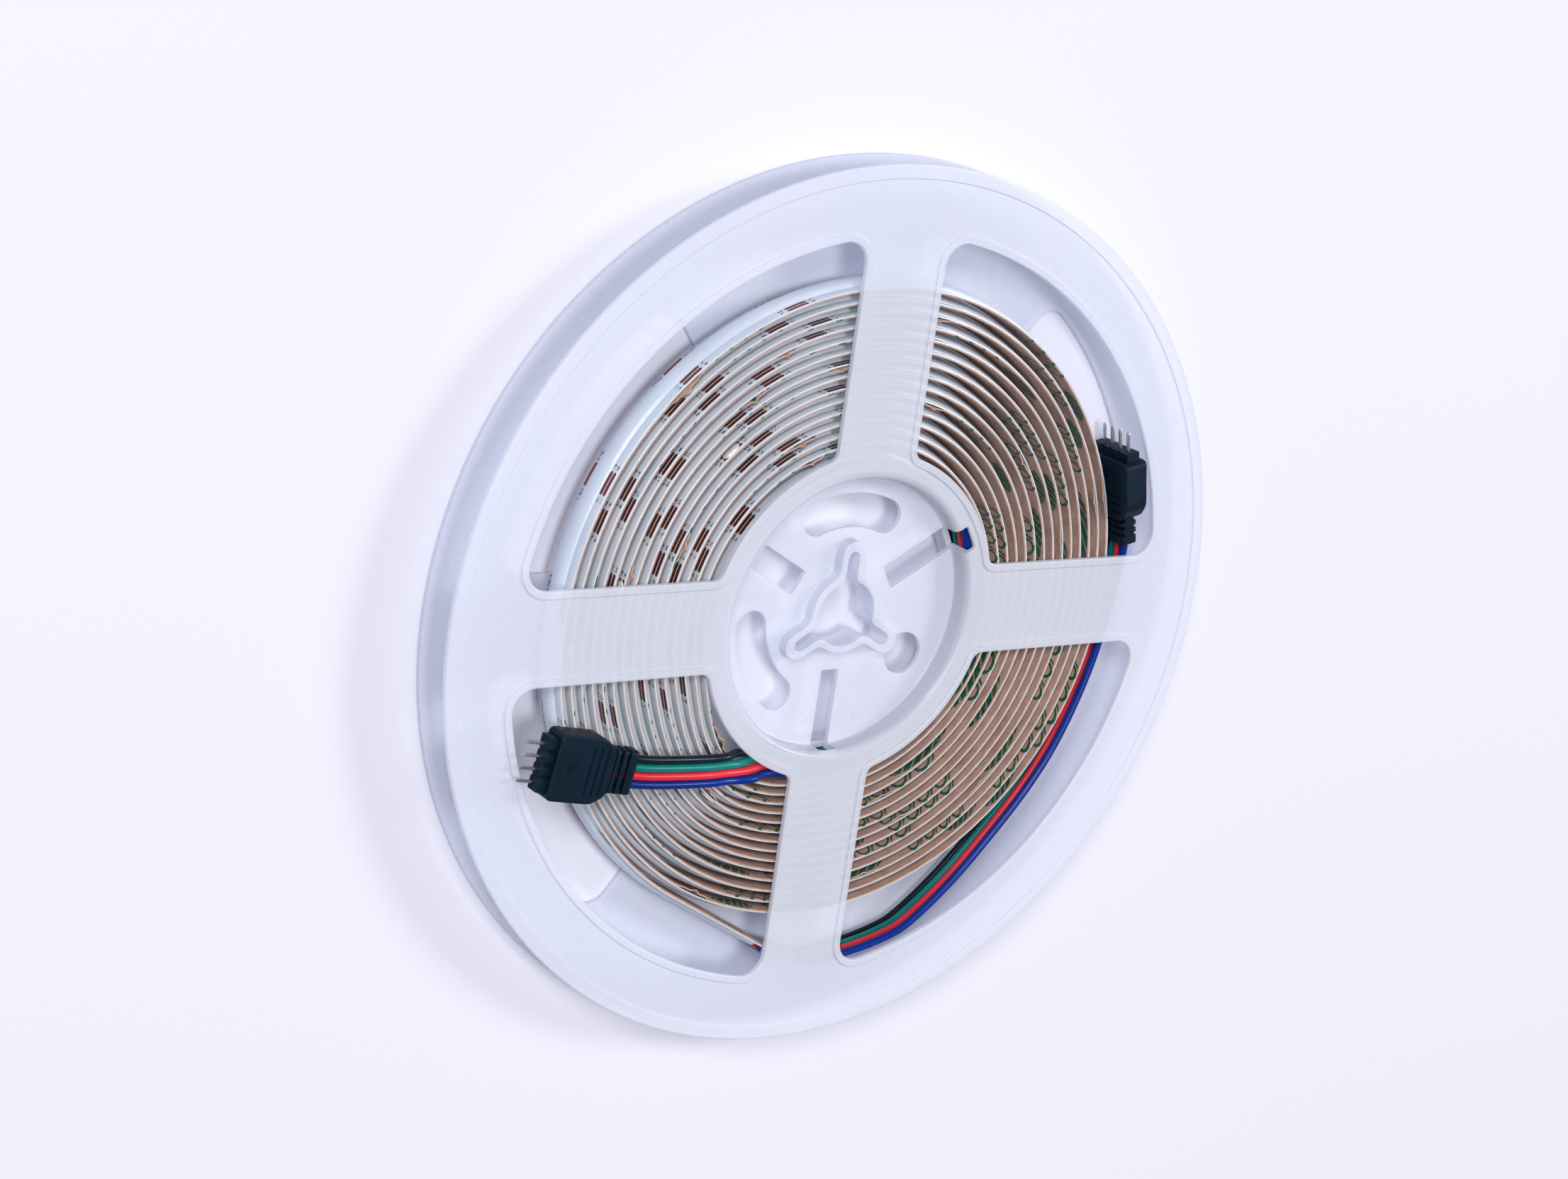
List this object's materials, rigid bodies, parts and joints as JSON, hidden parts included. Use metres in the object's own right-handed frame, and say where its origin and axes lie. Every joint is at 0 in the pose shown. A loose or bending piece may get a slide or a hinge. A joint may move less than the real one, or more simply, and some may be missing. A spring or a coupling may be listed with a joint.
{
  "type": "led strip light reel",
  "caption": "Flexible colour light strip wound on a flat translucent plastic spool, with a wired pin connector at each end of the strip.",
  "frame": {"origin": "on the spool's axis, in the plane that the rear flange rests on", "axes": "+Z along the spool's axis, out of the front flange; +X and +Y along two of its spokes, with the outer connector near +X"},
  "size_m": [0.18, 0.18, 0.0152],
  "materials": {
    "spool_plastic": "translucent milky, satin",
    "strip_silicone": "white, glossy",
    "liner_paper": "kraft-brown waxed paper",
    "clear_sleeve": "clear, glossy",
    "connector_black": "moulded, semi-matt",
    "pin_metal": "bright tin plate",
    "wire_blue": "soft vinyl",
    "wire_red": "soft vinyl",
    "wire_green": "soft vinyl",
    "wire_black": "soft vinyl"
  },
  "bodies": {
    "root": {"spool_front_half": "spool_plastic", "spool_rear_half": "spool_plastic", "led_strip": "strip_silicone", "release_liner": "liner_paper", "outer_sleeve": "clear_sleeve", "inner_sleeve": "clear_sleeve", "outer_connector_housing": "connector_black", "outer_pin_header": "connector_black", "outer_pin_1": "pin_metal", "outer_pin_2": "pin_metal", "outer_pin_3": "pin_metal", "outer_pin_4": "pin_metal", "outer_lead_blue": "wire_blue", "outer_lead_red": "wire_red", "outer_lead_green": "wire_green", "outer_lead_black": "wire_black", "inner_connector_housing": "connector_black", "inner_pin_header": "connector_black", "inner_pin_1": "pin_metal", "inner_pin_2": "pin_metal", "inner_pin_3": "pin_metal", "inner_pin_4": "pin_metal", "inner_lead_blue": "wire_blue", "inner_lead_red": "wire_red", "inner_lead_green": "wire_green", "inner_lead_black": "wire_black"}
  },
  "joints": []
}
